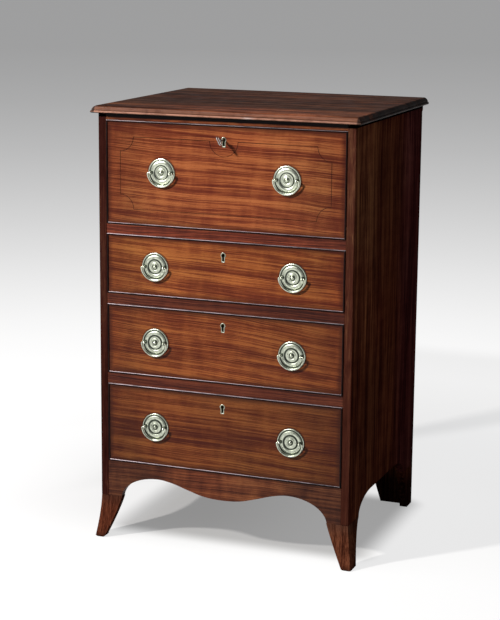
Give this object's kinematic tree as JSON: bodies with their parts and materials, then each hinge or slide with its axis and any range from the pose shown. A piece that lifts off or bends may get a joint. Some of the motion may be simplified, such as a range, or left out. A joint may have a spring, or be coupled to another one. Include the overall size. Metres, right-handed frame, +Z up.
{
  "type": "secretaire chest",
  "caption": "Mahogany secretaire chest: a hinged writing fall over long drawers, moulded top, splayed bracket feet and round brass bail handles.",
  "frame": {"origin": "on the floor, under the middle of the whole chest's bounding box", "axes": "+Z up, the drawers face -Y, +X to the right of the front"},
  "size_m": [0.628, 0.5469, 1],
  "materials": {
    "front_wood": "french polish",
    "rail_wood": "french polish",
    "side_wood": "french polish",
    "top_wood": "french polish",
    "apron_wood": "french polish",
    "bead_wood": "dark polish",
    "oak": "bare oak",
    "pine": "bare pine",
    "brass": "aged gilt",
    "steel": "dull"
  },
  "bodies": {
    "chest": {"apron": "apron_wood", "back_panel": "pine", "bottom_board": "pine", "drawer_bearer_1": "oak", "drawer_bearer_2": "oak", "drawer_bearer_3": "oak", "drawer_rail_1": "rail_wood", "drawer_rail_2": "rail_wood", "drawer_rail_3": "rail_wood", "foot_front_left": "apron_wood", "foot_front_right": "apron_wood", "foot_rear_left": "side_wood", "foot_rear_right": "side_wood", "side_left": "side_wood", "side_right": "side_wood", "top_board": "top_wood", "top_rail": "rail_wood"},
    "secretaire_drawer": {"desk_back": "oak", "desk_floor": "rail_wood", "desk_side_left": "oak", "desk_side_right": "oak", "pigeonhole_case": "rail_wood", "pivot_plate_left": "brass", "pivot_plate_right": "brass"},
    "inner_drawer": {"inner_drawer": "front_wood"},
    "fall": {"fall_panel": "front_wood", "fall_cockbead": "bead_wood", "fall_lock": "brass", "fall_quadrant_left": "brass", "fall_quadrant_right": "brass", "fall_plate_left": "brass", "fall_plate_right": "brass"},
    "fall_bolt": {"fall_bolt": "steel"},
    "key": {"key": "steel"},
    "drawer_2": {"drawer_2_box": "oak", "drawer_2_front": "front_wood", "drawer_2_cockbead": "bead_wood", "drawer_2_lock": "brass", "drawer_2_plate_left": "brass", "drawer_2_plate_right": "brass"},
    "drawer_3": {"drawer_3_box": "oak", "drawer_3_front": "front_wood", "drawer_3_cockbead": "bead_wood", "drawer_3_lock": "brass", "drawer_3_plate_left": "brass", "drawer_3_plate_right": "brass"},
    "drawer_4": {"drawer_4_box": "oak", "drawer_4_front": "front_wood", "drawer_4_cockbead": "bead_wood", "drawer_4_lock": "brass", "drawer_4_plate_left": "brass", "drawer_4_plate_right": "brass"},
    "fall_bail_left": {"fall_bail_left": "brass"},
    "fall_bail_right": {"fall_bail_right": "brass"},
    "drawer_2_bail_left": {"drawer_2_bail_left": "brass"},
    "drawer_2_bail_right": {"drawer_2_bail_right": "brass"},
    "drawer_3_bail_left": {"drawer_3_bail_left": "brass"},
    "drawer_3_bail_right": {"drawer_3_bail_right": "brass"},
    "drawer_4_bail_left": {"drawer_4_bail_left": "brass"},
    "drawer_4_bail_right": {"drawer_4_bail_right": "brass"}
  },
  "joints": [
    {"name": "secretaire_slide", "type": "slide", "parent": "chest", "child": "secretaire_drawer", "axis": [0, -1, 0], "range_m": [0, 0.26]},
    {"name": "fall_hinge", "type": "hinge", "parent": "secretaire_drawer", "child": "fall", "pos_m": [0, -0.2393, 0.7612], "axis": [1, 0, 0], "range_deg": [0, 90]},
    {"name": "inner_slide", "type": "slide", "parent": "secretaire_drawer", "child": "inner_drawer", "axis": [0, -1, 0], "range_m": [0, 0.12]},
    {"name": "key_turn", "type": "hinge", "parent": "fall", "child": "key", "pos_m": [0, -0.2435, 0.9375], "axis": [0, 1, 0], "range_deg": [0, 90]},
    {"name": "bolt_slide", "type": "slide", "parent": "fall", "child": "fall_bolt", "axis": [0, 0, 1], "range_m": [0, 0.007]},
    {"name": "drawer_2_slide", "type": "slide", "parent": "chest", "child": "drawer_2", "axis": [0, -1, 0], "range_m": [0, 0.3]},
    {"name": "drawer_3_slide", "type": "slide", "parent": "chest", "child": "drawer_3", "axis": [0, -1, 0], "range_m": [0, 0.3]},
    {"name": "drawer_4_slide", "type": "slide", "parent": "chest", "child": "drawer_4", "axis": [0, -1, 0], "range_m": [0, 0.3]},
    {"name": "fall_bail_left_hinge", "type": "hinge", "parent": "fall", "child": "fall_bail_left", "pos_m": [-0.147, -0.2542, 0.858], "axis": [-1, 0, 0], "range_deg": [0, 80]},
    {"name": "fall_bail_right_hinge", "type": "hinge", "parent": "fall", "child": "fall_bail_right", "pos_m": [0.147, -0.2542, 0.858], "axis": [-1, 0, 0], "range_deg": [0, 80]},
    {"name": "drawer_2_bail_left_hinge", "type": "hinge", "parent": "drawer_2", "child": "drawer_2_bail_left", "pos_m": [-0.163, -0.2542, 0.6465], "axis": [-1, 0, 0], "range_deg": [0, 80]},
    {"name": "drawer_2_bail_right_hinge", "type": "hinge", "parent": "drawer_2", "child": "drawer_2_bail_right", "pos_m": [0.163, -0.2542, 0.6465], "axis": [-1, 0, 0], "range_deg": [0, 80]},
    {"name": "drawer_3_bail_left_hinge", "type": "hinge", "parent": "drawer_3", "child": "drawer_3_bail_left", "pos_m": [-0.163, -0.2542, 0.4735], "axis": [-1, 0, 0], "range_deg": [0, 80]},
    {"name": "drawer_3_bail_right_hinge", "type": "hinge", "parent": "drawer_3", "child": "drawer_3_bail_right", "pos_m": [0.163, -0.2542, 0.4735], "axis": [-1, 0, 0], "range_deg": [0, 80]},
    {"name": "drawer_4_bail_left_hinge", "type": "hinge", "parent": "drawer_4", "child": "drawer_4_bail_left", "pos_m": [-0.163, -0.2542, 0.2765], "axis": [-1, 0, 0], "range_deg": [0, 80]},
    {"name": "drawer_4_bail_right_hinge", "type": "hinge", "parent": "drawer_4", "child": "drawer_4_bail_right", "pos_m": [0.163, -0.2542, 0.2765], "axis": [-1, 0, 0], "range_deg": [0, 80]}
  ],
  "couplings": [
    {"joint": "bolt_slide", "follows": "key_turn", "m_per_rad": 0.0044563}
  ]
}
